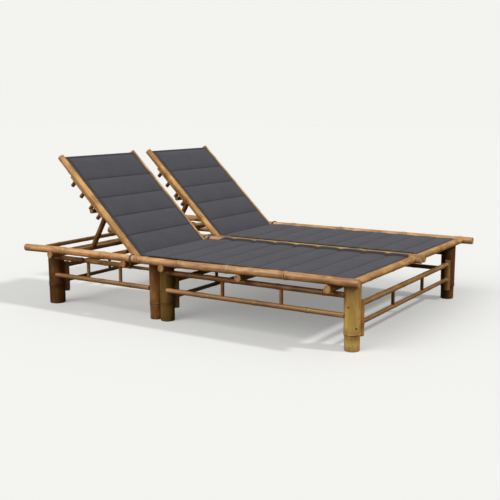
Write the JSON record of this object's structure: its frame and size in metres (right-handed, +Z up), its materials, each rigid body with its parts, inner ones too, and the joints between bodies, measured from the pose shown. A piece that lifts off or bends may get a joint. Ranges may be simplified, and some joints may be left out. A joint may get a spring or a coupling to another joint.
{
  "type": "double chaise lounger",
  "caption": "Low double sun lounger built of round bamboo poles, with separately tilting backrests propped on pegged racks and thin quilted pads.",
  "frame": {"origin": "on the ground, in the middle of the overall length and width", "axes": "+X towards the foot end, -X towards the head end with the backrests, +Z up, -Y the near side in the picture"},
  "size_m": [2, 1.4042, 0.7996],
  "materials": {
    "bamboo_rail": "varnished bamboo, honey with pinkish tops",
    "bamboo_leg": "varnished bamboo, olive brown",
    "bamboo_bar": "varnished bamboo, brown",
    "bamboo_cane": "varnished bamboo cane",
    "pad_fabric": "matt woven cover, quilted",
    "tie_cord": "round tie cord",
    "pin_steel": "plain steel"
  },
  "bodies": {
    "base": {"cross_beam_1": "bamboo_bar", "cross_beam_2": "bamboo_bar", "cross_beam_3": "bamboo_bar", "cross_beam_4": "bamboo_bar", "cross_beam_5": "bamboo_bar", "foot_rail_far": "bamboo_rail", "foot_rail_near": "bamboo_rail", "head_rail_far": "bamboo_bar", "head_rail_near": "bamboo_bar", "ladder_foot_lower_bar": "bamboo_bar", "ladder_foot_upper_bar": "bamboo_bar", "ladder_head_lower_bar": "bamboo_bar", "ladder_head_upper_bar": "bamboo_bar", "ladder_mid_lower_bar": "bamboo_bar", "ladder_mid_upper_bar": "bamboo_bar", "ladder_posts": "bamboo_bar", "ladder_spindles": "bamboo_bar", "leg_foot_far": "bamboo_leg", "leg_foot_near": "bamboo_leg", "leg_head_far": "bamboo_leg", "leg_head_near": "bamboo_leg", "leg_mid_far": "bamboo_leg", "leg_mid_near": "bamboo_leg", "leg_twin_far": "bamboo_leg", "leg_twin_near": "bamboo_leg", "pad_ties": "tie_cord", "pivot_pins": "pin_steel", "rail_centre_far": "bamboo_rail", "rail_centre_near": "bamboo_rail", "rail_far": "bamboo_rail", "rail_near": "bamboo_rail", "seat_canes_far": "bamboo_cane", "seat_canes_near": "bamboo_cane", "seat_pad_far": "pad_fabric", "seat_pad_near": "pad_fabric", "side_bar_foot_lower_far": "bamboo_bar", "side_bar_foot_lower_near": "bamboo_bar", "side_bar_foot_upper_far": "bamboo_bar", "side_bar_foot_upper_near": "bamboo_bar", "side_bar_head_lower_far": "bamboo_bar", "side_bar_head_lower_near": "bamboo_bar", "side_bar_head_upper_far": "bamboo_bar", "side_bar_head_upper_near": "bamboo_bar", "side_spindles_far": "bamboo_bar", "side_spindles_near": "bamboo_bar", "strut_axles": "bamboo_bar"},
    "backrest_near": {"back_pad_near": "pad_fabric", "backrest_canes_near": "bamboo_cane", "backrest_inner_pole_near": "bamboo_rail", "backrest_outer_pole_near": "bamboo_rail", "peg_rack_near": "bamboo_bar"},
    "backrest_far": {"back_pad_far": "pad_fabric", "backrest_canes_far": "bamboo_cane", "backrest_inner_pole_far": "bamboo_rail", "backrest_outer_pole_far": "bamboo_rail", "peg_rack_far": "bamboo_bar"},
    "strut_near": {"strut_bar_near": "bamboo_bar", "strut_legs_near": "bamboo_bar"},
    "strut_far": {"strut_bar_far": "bamboo_bar", "strut_legs_far": "bamboo_bar"}
  },
  "joints": [
    {"name": "backrest_near_tilt", "type": "hinge", "parent": "base", "child": "backrest_near", "pos_m": [-0.273, -0.354, 0.315], "axis": [0, 1, 0], "range_deg": [-39, 0]},
    {"name": "strut_near_fold", "type": "hinge", "parent": "backrest_near", "child": "strut_near", "pos_m": [-0.54589, -0.354, 0.52042], "axis": [0, 1, 0], "range_deg": [-75.7, 0]},
    {"name": "backrest_far_tilt", "type": "hinge", "parent": "base", "child": "backrest_far", "pos_m": [-0.273, 0.354, 0.315], "axis": [0, 1, 0], "range_deg": [-39, 0]},
    {"name": "strut_far_fold", "type": "hinge", "parent": "backrest_far", "child": "strut_far", "pos_m": [-0.54589, 0.354, 0.52042], "axis": [0, 1, 0], "range_deg": [-75.7, 0]}
  ],
  "couplings": [
    {"joint": "strut_near_fold", "follows": "backrest_near_tilt", "ratio": 1.939},
    {"joint": "strut_far_fold", "follows": "backrest_far_tilt", "ratio": 1.939}
  ]
}
